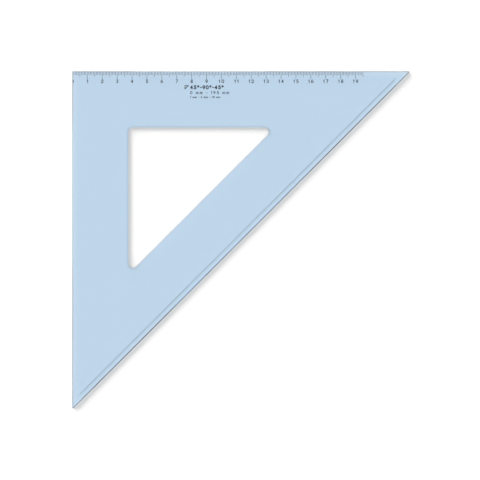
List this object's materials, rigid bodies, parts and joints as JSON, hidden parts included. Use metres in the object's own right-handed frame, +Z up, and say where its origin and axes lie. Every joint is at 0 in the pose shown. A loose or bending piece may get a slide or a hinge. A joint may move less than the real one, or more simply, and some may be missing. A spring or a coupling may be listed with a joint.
{
  "type": "set square",
  "caption": "Transparent 45/90/45 drafting set square with a triangular cut-out, outer edges raised clear of the paper for ink work, and a centimetre scale along one leg.",
  "frame": {"origin": "on the underside's plane, under the middle of the hypotenuse, which is also the middle of the plate's bounding box", "axes": "+Z up from the resting face, +X along the leg with the scale, +Y from the hypotenuse's lower tip towards that leg"},
  "size_m": [0.226, 0.226, 0.0022],
  "materials": {
    "plate_plastic": "transparent light blue, polished",
    "stamped_ink": "hot-stamped ink, satin"
  },
  "bodies": {
    "root": {"triangle_plate": "plate_plastic", "millimetre_marks": "stamped_ink", "half_centimetre_marks": "stamped_ink", "centimetre_marks": "stamped_ink", "scale_numerals": "stamped_ink", "triangle_pictogram": "stamped_ink", "angle_legend": "stamped_ink", "range_legend": "stamped_ink", "division_legend": "stamped_ink"}
  },
  "joints": []
}
